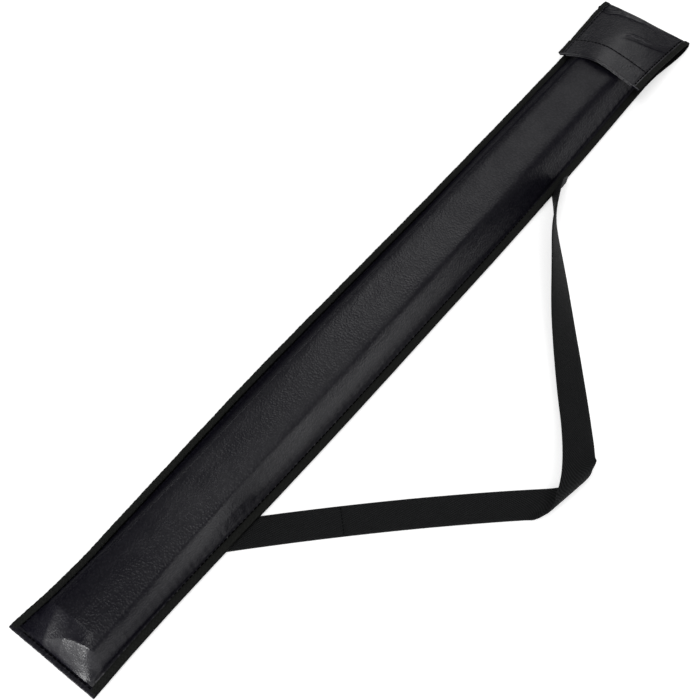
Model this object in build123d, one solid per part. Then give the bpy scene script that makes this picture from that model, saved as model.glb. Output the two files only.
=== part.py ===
from build123d import *
import math
import os

# A soft leatherette sling case with a stiff flattened tube inside, lying on its back.
# Frame: X along the case, the flap at +X; Y across it; Z up. The origin is in the middle of the case,
# on the surface that the case lies on. Millimetres.

# Driving dimensions
CASE_LENGTH = 781.0         # bottom edge to the outermost line of the flap's fold
BODY_WIDTH = 84.0           # over the side bindings
FLAP_WIDTH = 86.0           # over the flap's bindings
BODY_HEIGHT = 30.0          # table to the crown of the front panel
LEATHERETTE = 1.2           # thickness of the outer sheets
LINING = 0.8                # thickness of the lining sheets
TAPE = 0.5                  # thickness of the binding tape
BINDING = 6.0               # width of the binding tape once folded
HEM = 3.5                   # width of the narrow turned hems
FLAP_HEM = 20.0             # height of the hem along the flap's front edge
FASTENER = 1.35             # thickness of each half of the hook-and-loop closure
LOOP_WIDTH = 32.0           # across the case
HOOK_WIDTH = 30.0
WEBBING_WIDTH = 25.0
WEBBING = 1.6               # thickness of the strap's webbing
BOARD = 1.5                 # wall of the stiff tube
TUBE_WIDTH = 40.0           # outside of the stiff tube, across
TUBE_LOW = 4.4              # underside of the stiff tube above the table
TUBE_HIGH = 26.4            # top of the stiff tube above the table
TUBE_CORNER = 5.0
PADDING = 1.6               # foam sheet under the front panel
RIDGE = 20.0                # half width of the flat top face
CROWN = 1.0                 # rise of the top face's middle over its ridges

# Stations along the case, from the bottom edge
END_RIDGE = 20.0            # where the sloped bottom end reaches full height
TOP_RIDGE = 688.0           # where the top face starts to fall towards the mouth
MOUTH = 722.0               # front panel's free edge
MOUTH_RIDGE = 23.0          # half width of the top face there
MOUTH_HEIGHT = 22.8         # table to the ridges there
LIFT_OFF = 728.0            # where the back panel leaves the table
TUBE_START = 27.0
TUBE_END = 684.0

# Section of the pouch
SEAM = 35.5                 # half width at the inner edge of the sewn margin
SHEET_EDGE = BODY_WIDTH / 2 - TAPE
FLAT_BACK = 28.0            # half width of the part of the back that lies on the table
MARGIN_LOW = 2.6            # underside of the sewn margin above the table
MARGIN_MID = MARGIN_LOW + LEATHERETTE
MARGIN_HIGH = MARGIN_MID + LEATHERETTE
CHANNEL_ROOF = 2.0          # height to which the back yields over the strap's sewn ends

# Stitching
STITCH_LENGTH = 3.2
STITCH_PITCH = 4.6
THREAD = 0.5

# The fold: the hinge line of the flap
FOLD_X = CASE_LENGTH - LEATHERETTE - TAPE + 0.4
FOLD_Z = 13.0
HINGE_GAP = 1.5             # how far each sheet stops short of the hinge line


def along(distance):
    """X of a station given from the bottom edge."""
    return distance - CASE_LENGTH / 2


# Route of the strap's middle line: x from the bottom edge, y, z, then the bearing of the webbing's
# left edge as seen from the middle line, and the roll of that edge about the line, downwards, both
# in degrees.
STRAP_ROUTE = [
    (112.0, 7.0, 1.1, 46, 0),
    (136.5, -17.5, 1.1, 46, 0),
    (161.5, -40.2, 1.1, 47, 0),
    (203.0, -79.5, 1.1, 46, 0),
    (246.6, -122.6, 1.1, 45, 0),
    (282.0, -159.4, 1.1, 43, 0),
    (306.0, -185.2, 1.1, 22, 0),
    (325.5, -207.2, 1.3, -10, 0),
    (335.6, -213.7, 9.1, -10, 0),
    (347.4, -211.1, 17.1, -10, 0),
    (364.0, -201.5, 15.5, -34, 8),
    (385.0, -186.5, 10.0, -54, 13),
    (408.0, -167.5, 6.8, -51, 15),
    (436.0, -144.0, 6.4, -50, 24),
    (466.0, -118.5, 9.0, -50, 37),
    (498.0, -93.5, 11.6, -50, 54),
    (530.0, -68.0, 13.2, -50, 70),
    (552.0, -57.0, 12.6, -58, 96),
    (566.0, -58.5, 4.2, -66, 158),
    (579.0, -54.0, 1.1, -60, 180),
    (598.0, -41.5, 1.1, -58, 180),
    (621.0, -27.0, 1.1, -62, 180),
    (648.0, -14.0, 1.1, -70, 180),
    (676.0, -5.0, 1.1, -74, 180),
]
SEWN_LENGTH = 26.0          # length of each strap end that is sewn down


def save(name, shape):
    """One file per node."""
    export_step(shape, "parts/" + name + ".step")


def box(x0, x1, y0, y1, z0, z1):
    return Pos((x0 + x1) / 2, (y0 + y1) / 2, (z0 + z1) / 2) * Box(x1 - x0, y1 - y0, z1 - z0)


def strips(sheet, xs, ys):
    """The solids that a folded sheet makes when it is cut along its creases, at each x and y."""
    pieces = []
    for x0, x1 in zip(xs, xs[1:]):
        for y0, y1 in zip(ys, ys[1:]):
            pieces += (sheet & box(along(x0), along(x1), y0, y1, -1, BODY_HEIGHT + 1)).solids()
    return pieces


def ruled(sections):
    """Solid through closed polygons that all have the same number of corners."""
    wires = [Wire.make_polygon([Vector(*p) for p in s], close=True) for s in sections]
    return Solid.make_loft(wires, True)


def mirrored_outline(half):
    """Closes the half of an outline with y >= 0 (top middle to bottom middle) with its mirror image."""
    return half + [(-y, z) for y, z in reversed(half) if y > 0]


# --- sheets that follow a line in the XZ plane ------------------------------------------------

def sheet_stations(points):
    """Position, normal (left of travel) and droop of each point of an (x, z, droop) line."""
    stations = []
    for i, (x, z, droop) in enumerate(points):
        before = points[max(i - 1, 0)]
        after = points[min(i + 1, len(points) - 1)]
        dx, dz = after[0] - before[0], after[1] - before[1]
        size = math.hypot(dx, dz)
        stations.append((x, z, -dz / size, dx / size, droop))
    return stations


def droop_at(y, half_width):
    """Share of its edge's droop that a sheet has at y: none over the top face, then a straight slope."""
    return max(0.0, (abs(y) - RIDGE) / (half_width - RIDGE))


def follow(points, outline, half_width):
    """Solid of a (y, offset from the line) outline carried along an (x, z, droop) line."""
    sections = []
    for x, z, nx, nz, droop in sheet_stations(points):
        section = []
        for y, off in outline:
            d = off - droop * droop_at(y, half_width)
            section.append((along(x) + nx * d, y, z + nz * d))
        sections.append(section)
    return ruled(sections)


def band_outline(half, low, high):
    """Outline of a flat sheet, with corners where its droop starts."""
    ys = [-half, -RIDGE, RIDGE, half]
    return [(y, low) for y in ys] + [(y, high) for y in reversed(ys)]


def binding_outline(side, edge, low, high):
    """C-shaped tape that wraps the edge of layers lying between low and high."""
    inner = edge - BINDING + TAPE
    c = [(inner, high), (inner, high + TAPE), (edge + TAPE, high + TAPE), (edge + TAPE, low - TAPE),
         (inner, low - TAPE), (inner, low), (edge, low), (edge, high)]
    return [(side * y, off) for y, off in c]


# --- body of the case -------------------------------------------------------------------------

def back_half(low):
    """Right half of the back sheet's lower or upper face."""
    return [(0.0, low), (FLAT_BACK, low), (SEAM, low + MARGIN_LOW), (SHEET_EDGE, low + MARGIN_LOW)]


def strap_band(first, last, half_width):
    """Flat face over the strap between two of its route points."""
    face = None
    for a, b in zip(STRAP_ROUTE[first:last], STRAP_ROUTE[first + 1:last + 1]):
        length = math.hypot(b[0] - a[0], b[1] - a[1])
        angle = math.degrees(math.atan2(b[1] - a[1], b[0] - a[0]))
        place = Pos(along((a[0] + b[0]) / 2), (a[1] + b[1]) / 2) * Rot(0, 0, angle)
        piece = place * Rectangle(length, 2 * half_width)
        face = piece if face is None else face + piece
    for x, y in [p[:2] for p in STRAP_ROUTE[first:last + 1]]:
        face = face + Pos(along(x), y) * Circle(half_width)
    return face


def channel(extra, low, high, limit):
    """Room over both sewn ends of the strap, up to a distance from the middle of the back."""
    half = WEBBING_WIDTH / 2 + 1.0 + extra
    count = len(STRAP_ROUTE)
    faces = [strap_band(0, 3, half), strap_band(count - 5, count - 1, half)]
    room = None
    for face in faces:
        solid = Pos(0, 0, low) * extrude(face, high - low)
        room = solid if room is None else room + solid
    return room & box(along(0), along(CASE_LENGTH), -limit, limit, low - 1, high + 1)


def back_panel():
    """Back sheet from the bottom edge to the mouth, raised where the strap's ends lie under it.

    It is a flat middle strip, a sloping strip with a margin on each side, and the end along the hem.
    """
    lower = back_half(0.0)
    upper = [(y, z) for y, z in reversed(back_half(LEATHERETTE))]
    right = lower + upper
    left = [(-y, z) for y, z in reversed(right) if y > 0]
    outline = right[:len(lower) + len(upper) - 1] + [right[-1]] + left
    first, last = len(lower), len(lower) + 2 * len(upper) - 2
    edge = [(y, MARGIN_LOW + (LEATHERETTE if first <= i <= last else 0.0))
            for i, (y, z) in enumerate(outline)]
    stations = ((TAPE, edge), (HEM + 0.5, edge), (HEM + 10.0, outline), (MOUTH + 2.0, outline))
    flat = ruled([[(along(x), y, z) for y, z in section] for x, section in stations])
    roof = CHANNEL_ROOF + LEATHERETTE
    room = channel(0.0, -1.0, CHANNEL_ROOF, BODY_WIDTH)
    raised = channel(LEATHERETTE, 0.0, roof, SEAM) - room
    sheet = (flat - room) + raised
    half = BODY_WIDTH / 2
    return Compound(strips(sheet, (0, HEM + 10.0), (-half, half)) +
                    strips(sheet, (HEM + 10.0, MOUTH + 2.0), (-half, -FLAT_BACK, FLAT_BACK, half)))


def front_section(x, seam, ridge, low, high, crown):
    """Cross-section polygon of the tented front panel."""
    half = [(0.0, high + crown), (ridge * 0.5, high + crown * 0.75), (ridge, high),
            (seam, low + LEATHERETTE), (seam, low)]
    return [(along(x), y, z) for y, z in mirrored_outline(half)]


# How far each feature of the tented front moves for a sheet face that lies one unit below the outer
# face, so that the sheet keeps its thickness on the slopes
SEAM_SHARE = 0.75
RIDGE_SHARE = 0.45
END_SHARE = 1.6
END_RIDGE_SHARE = 0.7


def tent(inset):
    """Solid under a sheet face that lies inset below the outer face of the front panel."""
    low = MARGIN_MID
    top = BODY_HEIGHT - CROWN - inset
    seam = SEAM - inset * SEAM_SHARE
    ridge = RIDGE - inset * RIDGE_SHARE
    mouth_ridge = MOUTH_RIDGE - inset * RIDGE_SHARE
    end_seam = seam - 0.02 if inset else seam
    start = HEM + 0.5 + inset * END_SHARE
    sections = [
        front_section(start, end_seam, seam - 1.5, low, low + LEATHERETTE + 0.05, 0.1),
        front_section(END_RIDGE + inset * END_RIDGE_SHARE, seam, ridge, low, top, CROWN),
        front_section(TOP_RIDGE, seam, ridge, low, top, CROWN),
        front_section(MOUTH, seam, mouth_ridge, low, MOUTH_HEIGHT - inset, CROWN),
    ]
    return ruled(sections)


def front_panel():
    """Tented front sheet with its flat sewn margins, as nearly flat strips between its creases."""
    shell = tent(0.0) - tent(LEATHERETTE)
    margin = box(along(TAPE), along(MOUTH), -SHEET_EDGE, SHEET_EDGE, MARGIN_MID, MARGIN_HIGH)
    inner = SEAM - 0.01
    window = box(along(HEM + 0.6), along(MOUTH) + 1, -inner, inner, MARGIN_MID - 1, MARGIN_HIGH + 1)
    sheet = shell + (margin - window)
    half = BODY_WIDTH / 2
    crease = RIDGE - LEATHERETTE * RIDGE_SHARE
    end = END_RIDGE + LEATHERETTE * END_RIDGE_SHARE
    return Compound(strips(sheet, (0, end), (-half, half)) +
                    strips(sheet, (end, TOP_RIDGE, MOUTH), (-half, -SEAM, -crease, crease, SEAM, half)))


def front_padding():
    """Foam sheet glued under the front panel."""
    shell = tent(LEATHERETTE + 0.05) - tent(LEATHERETTE + PADDING)
    trim = box(along(0), along(TUBE_END), -50, 50, MARGIN_MID + 0.4, 60)
    return shell & trim


def back_padding():
    """Foam sheet on the inside of the back, pressed in over the strap's sewn ends and their backing."""
    top = TUBE_LOW - 0.05
    slab = box(along(HEM + 12), along(TUBE_END), -24.0, 24.0, LEATHERETTE + 0.05, top)
    return slab - channel(LEATHERETTE + 0.1, 0.0, CHANNEL_ROOF + LEATHERETTE + 0.05, SEAM) - backing_room()


def rounded_bar(x0, x1, width, low, high, corner):
    face = Plane.YZ * RectangleRounded(width, high - low, corner)
    return Pos(x0, 0, (low + high) / 2) * extrude(face, x1 - x0)


def quarter(side):
    """Wedge round one wall of the stiff tube, up to the middle of its rounded corners.

    Sides 0 to 3 are the top, the left, the bottom and the right.
    """
    y, z = TUBE_WIDTH / 2 - TUBE_CORNER, (TUBE_HIGH - TUBE_LOW) / 2 - TUBE_CORNER
    out = TUBE_CORNER + 2.0
    if side in (0, 2):
        shape = [(-y, z), (y, z), (y + out, z + out), (-y - out, z + out)]
    else:
        shape = [(y, -z), (y + out, -z - out), (y + out, z + out), (y, z)]
    flip = 1 if side < 2 else -1
    middle = (TUBE_LOW + TUBE_HIGH) / 2
    corners = [(flip * y, middle + flip * z) for y, z in shape]
    return ruled([[(along(x), y, z) for y, z in corners] for x in (TUBE_START, TUBE_END)])


def stiff_tube():
    """Flat tube of board: four walls joined along the middle of its rounded corners."""
    outer = rounded_bar(along(TUBE_START), along(TUBE_END), TUBE_WIDTH, TUBE_LOW, TUBE_HIGH, TUBE_CORNER)
    inner = rounded_bar(along(TUBE_START) - 1, along(TUBE_END) + 1, TUBE_WIDTH - 2 * BOARD,
                        TUBE_LOW + BOARD, TUBE_HIGH - BOARD, TUBE_CORNER - BOARD)
    tube = outer - inner
    return Compound([(tube & quarter(side)).solids()[0] for side in range(4)])


def tube_lining():
    """Fabric glued to the inside of the stiff tube."""
    gap = BOARD + 0.02
    outer = rounded_bar(along(TUBE_START + 7), along(TUBE_END), TUBE_WIDTH - 2 * gap,
                        TUBE_LOW + gap, TUBE_HIGH - gap, TUBE_CORNER - gap)
    wall = gap + LINING
    inner = rounded_bar(along(TUBE_START + 7) - 1, along(TUBE_END) + 1, TUBE_WIDTH - 2 * wall,
                        TUBE_LOW + wall, TUBE_HIGH - wall, TUBE_CORNER - wall)
    return outer - inner


def tube_end_plug():
    gap = BOARD + 0.02
    return rounded_bar(along(TUBE_START), along(TUBE_START + 6.8), TUBE_WIDTH - 2 * gap,
                       TUBE_LOW + gap, TUBE_HIGH - gap, TUBE_CORNER - gap)


def side_binding(side):
    outline = binding_outline(side, SHEET_EDGE, MARGIN_LOW, MARGIN_HIGH)
    return ruled([[(along(x), y, z) for y, z in outline] for x in (HEM + 0.5, MOUTH)])


def bottom_hem():
    """Narrow strip that wraps the bottom edge of both panels."""
    low, high = MARGIN_LOW, MARGIN_HIGH
    half = SHEET_EDGE
    outer = box(along(0), along(HEM), -half, half, low - TAPE, high + TAPE)
    return outer - box(along(TAPE), along(HEM) + 1, -half - 1, half + 1, low, high)


# --- pieces sewn to the inside of the mouth ---------------------------------------------------

def mouth_hem():
    """Strip turned under along the free edge of the front panel."""
    ring = tent(LEATHERETTE + 0.02) - tent(LEATHERETTE + 0.02 + LINING)
    return ring & box(along(MOUTH - 10), along(MOUTH), -50, 50, MARGIN_HIGH + 0.6, 60)


def loop_strip():
    """Soft half of the closure, on the outside of the front panel."""
    points = [(x, z, 0.0) for x, z in front_top_line()]
    half = LOOP_WIDTH / 2
    return follow(points, [(-half, 0.05), (half, 0.05), (half, FASTENER), (-half, FASTENER)], BODY_WIDTH)


def front_top_line():
    """Two points just over the front panel's crown, near the mouth."""
    fall = (BODY_HEIGHT - CROWN - MOUTH_HEIGHT) / (MOUTH - TOP_RIDGE)
    crown = BODY_HEIGHT + 0.05
    return [(x, crown - fall * (x - TOP_RIDGE)) for x in (TOP_RIDGE + 8.0, TOP_RIDGE + 28.0)]


# --- tongue of the back panel and the flap ----------------------------------------------------

# (x from the bottom edge, z, droop of the side edges) along the boundary between outer sheet and lining
TONGUE_LINE = [(MOUTH + 2.4, 1.2, -MARGIN_LOW), (LIFT_OFF + 8.0, 1.7, -1.6), (747.0, 4.0, 0.0),
               (762.0, 7.4, 0.0), (773.0, 10.4, 0.0), (FOLD_X - HINGE_GAP, FOLD_Z - 0.55, 0.0)]
FLAP_LINE = [(696.0, 34.4, 22.0), (716.0, 34.9, 17.0), (735.0, 34.2, 10.5), (757.0, 31.2, 4.0),
             (771.0, 26.0, 1.0), (777.6, 19.5, 0.0), (FOLD_X - 0.4, FOLD_Z + HINGE_GAP, 0.0)]


def tongue_piece(outline):
    """Carries an outline from the mouth to the fold; offsets count outwards, that is down."""
    return follow(TONGUE_LINE, [(y, -off) for y, off in outline], FLAP_WIDTH / 2 - TAPE)


def flap_piece(outline, count=len(FLAP_LINE)):
    """Carries an outline from the flap's front edge towards the fold; offsets count outwards, that is up."""
    return follow(FLAP_LINE[:count], outline, FLAP_WIDTH / 2 - TAPE)


def flap_hem():
    """Doubled strip along the inside of the flap's front edge."""
    return flap_piece(band_outline(FLAP_WIDTH / 2 - BINDING - 0.2, -LINING - 1.0, -LINING - 0.02), 2)


def hook_strip():
    """Hooked half of the closure, inside the flap's hem."""
    half = HOOK_WIDTH / 2
    near, far = -LINING - 1.05, -LINING - 0.85 - FASTENER
    return flap_piece([(-half, near), (half, near), (half, far), (-half, far)], 2)


# --- strap ------------------------------------------------------------------------------------

def route_point(index):
    x, y, z = STRAP_ROUTE[index][:3]
    return Vector(along(x), y, z)


def strap_radii():
    """Radius of each bend: 0.45 of the shorter run over the tangent of half the turn."""
    points = [route_point(i) for i in range(len(STRAP_ROUTE))]
    radii = []
    for a, b, c in zip(points, points[1:], points[2:]):
        turn = math.radians((b - a).get_angle(c - b))
        radii.append(0.45 * min((b - a).length, (c - b).length) / math.tan(turn / 2))
    return radii


def strap_path():
    points = [route_point(i) for i in range(len(STRAP_ROUTE))]
    return FilletPolyline(*points, radius=strap_radii())


def across(place):
    """Direction of the webbing's left edge at a place counted in route points."""
    i = min(int(place), len(STRAP_ROUTE) - 2)
    t = place - i
    bearing = math.radians(STRAP_ROUTE[i][3] * (1 - t) + STRAP_ROUTE[i + 1][3] * t)
    roll = math.radians(STRAP_ROUTE[i][4] * (1 - t) + STRAP_ROUTE[i + 1][4] * t)
    return Vector(math.cos(roll) * math.cos(bearing), math.cos(roll) * math.sin(bearing), -math.sin(roll))


def strap_section(point, tangent, place, thickness, width):
    """Corners of the webbing's section, wider where it is cut at a slant, to keep the true width."""
    w = across(place)
    slant = w.cross(tangent).length
    n = tangent.cross(w).normalized() * (thickness / 2)
    half = w * (width / 2 / slant)
    corners = (point + half + n, point - half + n, point - half - n, point + half - n)
    return [tuple(corner) for corner in corners]


def strap():
    """The webbing as one ruled ribbon, flat, folded over and then twisted as the route says."""
    path = strap_path()
    edges = path.edges()
    sections = [strap_section(edges[0] @ 0, edges[0] % 0, 0.0, WEBBING, WEBBING_WIDTH)]
    corner = 0
    for edge in edges:
        if edge.geom_type == GeomType.LINE:
            continue
        corner += 1
        for u, shift in ((0.0, -0.42), (0.5, 0.0), (1.0, 0.42)):
            sections.append(strap_section(edge @ u, edge % u, corner + shift, WEBBING, WEBBING_WIDTH))
    last = len(STRAP_ROUTE) - 1
    sections.append(strap_section(edges[-1] @ 1, edges[-1] % 1, float(last), WEBBING, WEBBING_WIDTH))
    solid = ruled(sections)
    section_area = WEBBING * WEBBING_WIDTH
    print("strap length %.1f mm, volume over section times length %.3f" % (
        path.length, solid.volume / (section_area * path.length)))
    print("strap radii", [round(r, 1) for r in strap_radii()])
    return solid


def anchor_frame(end):
    """Middle and bearing of the sewn part at one end of the strap."""
    last = len(STRAP_ROUTE) - 1
    a, b = (0, 1) if end == "lower" else (last, last - 1)
    start = route_point(a)
    direction = (route_point(b) - start).normalized()
    middle = start + direction * (SEWN_LENGTH / 2 + 1.5)
    return middle, math.degrees(math.atan2(direction.Y, direction.X))


def anchor_backing(end):
    """Reinforcing patch inside the back panel, over the sewn end of the strap."""
    middle, bearing = anchor_frame(end)
    low = CHANNEL_ROOF + LEATHERETTE + 0.02
    return Pos(middle.X, middle.Y, low + 0.5) * Rot(0, 0, bearing) * Box(SEWN_LENGTH, WEBBING_WIDTH, 1.0)


def backing_room():
    """Space that both reinforcing patches take in the foam."""
    room = None
    for end in ("lower", "upper"):
        middle, bearing = anchor_frame(end)
        low = CHANNEL_ROOF + LEATHERETTE
        block = Pos(middle.X, middle.Y, low + 0.6) * Rot(0, 0, bearing) * Box(
            SEWN_LENGTH + 0.4, WEBBING_WIDTH + 0.4, 1.3)
        room = block if room is None else room + block
    return room


# --- stitching --------------------------------------------------------------------------------

def stitch(x, y, z, bearing, length):
    """One thread lying flat on a sheet."""
    return Pos(x, y, z) * Rot(0, 0, bearing) * Box(length, THREAD, THREAD * 0.5)


def stitch_row(x0, y0, x1, y1, z):
    """Group of threads along a straight line at height z."""
    length = math.hypot(x1 - x0, y1 - y0)
    bearing = math.degrees(math.atan2(y1 - y0, x1 - x0))
    count = int(length // STITCH_PITCH)
    step = length / count
    threads = []
    for i in range(count):
        t = (i + 0.5) / count
        x, y = x0 + (x1 - x0) * t, y0 + (y1 - y0) * t
        threads.append(stitch(x, y, z, bearing, min(STITCH_LENGTH, step * 0.75)))
    return threads


def side_stitches(side):
    y = side * (SEAM + 0.25)
    return Compound(stitch_row(along(6.0), y, along(MOUTH - 2), y, MARGIN_HIGH + THREAD * 0.25 + 0.01))


def bottom_stitches():
    x = along(HEM * 0.55)
    return Compound(stitch_row(x, -SEAM, x, SEAM, MARGIN_HIGH + TAPE + THREAD * 0.25 + 0.01))


def box_x_stitches(end):
    """Square with a cross, sewn through the strap's end and the back panel; it lies under the webbing."""
    middle, bearing = anchor_frame(end)
    a, b = SEWN_LENGTH / 2 - 2.5, WEBBING_WIDTH / 2 - 2.5
    z = route_point(0).Z - WEBBING / 2 - THREAD * 0.25 - 0.01
    lines = [(-a, -b, a, -b), (a, -b, a, b), (a, b, -a, b), (-a, b, -a, -b), (-a + 2, -b + 2, a - 2, b - 2)]
    threads = []
    for line in lines:
        threads += stitch_row(*line, 0.0)
    for x, y in ((-a / 2, b / 2), (a / 2, -b / 2)):
        threads.append(stitch(x, y, 0.0, math.degrees(math.atan2(-b, a)), STITCH_LENGTH))
    place = Pos(middle.X, middle.Y, z) * Rot(0, 0, bearing)
    return Compound([place * t for t in threads])


def flap_front_stitches():
    """Row across the flap over the top of its hem, on the part that lies level."""
    x, z = FLAP_LINE[1][:2]
    y = RIDGE - 1.0
    return Compound(stitch_row(along(x), -y, along(x), y, z + LEATHERETTE + THREAD * 0.25 + 0.03))


def flap_side_stitches(side):
    """Row along the inner edge of a flap binding, thread by thread along the flap's line."""
    threads = []
    y = side * (FLAP_WIDTH / 2 - BINDING - 0.5)
    share = droop_at(y, FLAP_WIDTH / 2 - TAPE)
    for (x0, z0, d0), (x1, z1, d1) in zip(FLAP_LINE[:4], FLAP_LINE[1:5]):
        start = Vector(along(x0), y, z0 - share * d0)
        end = Vector(along(x1), y, z1 - share * d1)
        run = end - start
        normal = Vector(-run.Z, 0, run.X).normalized()
        count = max(1, int(run.length // STITCH_PITCH))
        for i in range(count):
            middle = start + run * ((i + 0.5) / count) + normal * (LEATHERETTE + 0.5)
            plane = Plane(origin=middle, x_dir=run.normalized(), z_dir=normal)
            threads.append(plane * Box(STITCH_LENGTH * 0.9, THREAD, THREAD * 0.5))
    return Compound(threads)


def splice_stitches():
    """Bar of thread across the strap, where its two lengths of webbing are joined."""
    x0, y0 = STRAP_ROUTE[2][:2]
    x1, y1, z, bearing = STRAP_ROUTE[3][:4]
    share = 0.72
    x, y = along(x0 + (x1 - x0) * share), y0 + (y1 - y0) * share
    reach = WEBBING_WIDTH / 2 - 1.5
    dx, dy = math.cos(math.radians(bearing)) * reach, math.sin(math.radians(bearing)) * reach
    top = z + WEBBING / 2 + THREAD * 0.25 + 0.02
    return Compound(stitch_row(x - dx, y - dy, x + dx, y + dy, top))


def build():
    os.makedirs("parts", exist_ok=True)
    edge = FLAP_WIDTH / 2 - TAPE
    save("back_panel", back_panel())
    save("back_tongue", tongue_piece(band_outline(edge, 0.0, LEATHERETTE)))
    save("tongue_lining", tongue_piece(band_outline(edge, -LINING, -0.01)))
    save("front_panel", front_panel())
    save("front_padding", front_padding())
    save("back_padding", back_padding())
    save("stiff_tube", stiff_tube())
    save("tube_lining", tube_lining())
    save("tube_end_plug", tube_end_plug())
    save("bottom_hem", bottom_hem())
    save("mouth_hem", mouth_hem())
    save("loop_strip", loop_strip())
    for name, side in (("left", 1), ("right", -1)):
        save("side_binding_" + name, side_binding(side))
        save("side_stitches_" + name, side_stitches(side))
        save("tongue_binding_" + name, tongue_piece(binding_outline(side, edge, -LINING, LEATHERETTE)))
        save("flap_binding_" + name, flap_piece(binding_outline(side, edge, -LINING, LEATHERETTE)))
        save("flap_stitches_" + name, flap_side_stitches(side))
    save("bottom_stitches", bottom_stitches())
    save("flap_shell", flap_piece(band_outline(edge, 0.0, LEATHERETTE)))
    save("flap_lining", flap_piece(band_outline(edge, -LINING, -0.01)))
    save("flap_hem", flap_hem())
    save("hook_strip", hook_strip())
    save("flap_hem_stitches", flap_front_stitches())
    save("shoulder_strap", strap())
    save("strap_splice_stitches", splice_stitches())
    for end in ("lower", "upper"):
        save("strap_backing_" + end, anchor_backing(end))
        save("strap_stitches_" + end, box_x_stitches(end))


build()
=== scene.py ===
import math

import bmesh
import bpy
import numpy as np
from mathutils import Matrix, Vector, noise


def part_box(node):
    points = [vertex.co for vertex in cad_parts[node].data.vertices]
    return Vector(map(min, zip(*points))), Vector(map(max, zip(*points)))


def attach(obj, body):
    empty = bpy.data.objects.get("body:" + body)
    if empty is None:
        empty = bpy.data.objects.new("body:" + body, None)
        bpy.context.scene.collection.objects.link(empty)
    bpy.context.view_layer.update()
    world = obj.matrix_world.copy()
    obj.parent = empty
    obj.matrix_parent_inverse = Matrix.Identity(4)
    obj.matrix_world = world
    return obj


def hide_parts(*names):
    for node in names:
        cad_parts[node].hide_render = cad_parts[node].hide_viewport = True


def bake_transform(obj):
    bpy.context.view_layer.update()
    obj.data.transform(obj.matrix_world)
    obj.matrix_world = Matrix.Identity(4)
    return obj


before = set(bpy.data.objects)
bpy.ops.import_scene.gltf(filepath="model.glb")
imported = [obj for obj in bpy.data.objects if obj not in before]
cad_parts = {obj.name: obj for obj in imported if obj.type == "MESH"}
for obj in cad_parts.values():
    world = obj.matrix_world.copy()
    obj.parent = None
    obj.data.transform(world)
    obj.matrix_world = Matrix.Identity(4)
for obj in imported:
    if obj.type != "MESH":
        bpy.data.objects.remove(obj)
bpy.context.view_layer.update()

# Everything below is worked out in millimetres, with x counted from the case's bottom edge, and turned into
# metres when a mesh is made.
MM = 0.001
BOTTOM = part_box("bottom_hem")[0].x
MOUTH = (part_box("front_panel")[1].x - BOTTOM) / MM
HALF_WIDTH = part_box("side_binding_left")[1].y / MM
MARGIN_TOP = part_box("side_stitches_left")[0].z / MM
MARGIN_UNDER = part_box("side_binding_left")[0].z / MM + 0.5   # underside of the sewn margins inside the tape
WEBBING = 1.6               # the strap's thickness
WEBBING_WIDTH = 25.0
SHEET = 1.2                 # thickness of the leatherette
TAPE = 0.55                 # thickness of the binding tape
TAPE_WIDTH = 6.0
FLAP_TAPE = 5.0             # how wide the tape shows on the flap
ALONG = (1.0, 0.0, 0.0)
UP = (0.0, 0.0, 1.0)


# --- camera ----------------------------------------------------------------------------------------

CAMERA_PLACE = (-0.5076, -0.3610, 0.960)
CAMERA_AHEAD = Vector((0.4042, 0.3215, -0.8563))
CAMERA_RIGHT = Vector((0.62251, -0.78261, 0.0))
CAMERA_LENS = 71.1
CAMERA_SENSOR = 36.0
CAMERA_REACH = 20.0


def make_camera():
    """The camera looks down at the case from beyond its bottom edge, a little from the right."""
    data = bpy.data.cameras.new("camera")
    data.lens = CAMERA_LENS
    data.sensor_width = CAMERA_SENSOR
    data.clip_end = CAMERA_REACH
    camera = bpy.data.objects.new("camera", data)
    forward = CAMERA_AHEAD.normalized()
    up = CAMERA_RIGHT.cross(forward)
    turn = Matrix((CAMERA_RIGHT, up, -forward)).transposed()
    camera.matrix_world = Matrix.Translation(CAMERA_PLACE) @ turn.to_4x4()
    bpy.context.scene.collection.objects.link(camera)
    bpy.context.scene.camera = camera


make_camera()


# --- meshes ------------------------------------------------------------------------------------------

def metres(points):
    """Millimetre points, with x from the bottom edge, as metres in the frame."""
    p = np.asarray(points, float).reshape(-1, 3) * MM
    p[:, 0] += BOTTOM
    return p


def make_object(name, points, faces, uvs, face_materials, materials):
    """A mesh object; points and uvs are in millimetres, one uv to a point."""
    mesh = bpy.data.meshes.new(name)
    mesh.from_pydata(metres(points).tolist(), [], [tuple(int(i) for i in f) for f in faces])
    mesh.update()
    layer = mesh.uv_layers.new(name="cloth")
    corner = np.empty(len(mesh.loops), np.int32)
    mesh.loops.foreach_get("vertex_index", corner)
    layer.data.foreach_set("uv", np.asarray(uvs, np.float32)[corner].ravel())
    for m in materials:
        mesh.materials.append(m)
    mesh.polygons.foreach_set("material_index", np.asarray(face_materials, np.int32))
    mesh.polygons.foreach_set("use_smooth", [True] * len(mesh.polygons))
    obj = bpy.data.objects.new(name, mesh)
    bpy.context.scene.collection.objects.link(obj)
    return obj


def grid_faces(rows, cols, first=0, flip=False):
    i, j = np.meshgrid(np.arange(rows - 1), np.arange(cols - 1), indexing="ij")
    a = (first + i * cols + j).ravel()
    quads = np.stack([a, a + cols, a + cols + 1, a + 1], 1)
    return quads[:, ::-1] if flip else quads


def grid_normals(p):
    """Unit normals of a rows by cols grid of points."""
    n = np.cross(np.gradient(p, axis=0), np.gradient(p, axis=1))
    return n / np.maximum(np.linalg.norm(n, axis=2, keepdims=True), 1e-9)


def distances(line):
    """Distance of each point of a line from its start, along it."""
    return np.r_[0, np.cumsum(np.linalg.norm(np.diff(line, axis=0), axis=1))]


def line_length(line):
    return float(np.linalg.norm(np.diff(line, axis=0), axis=1).sum())


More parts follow.
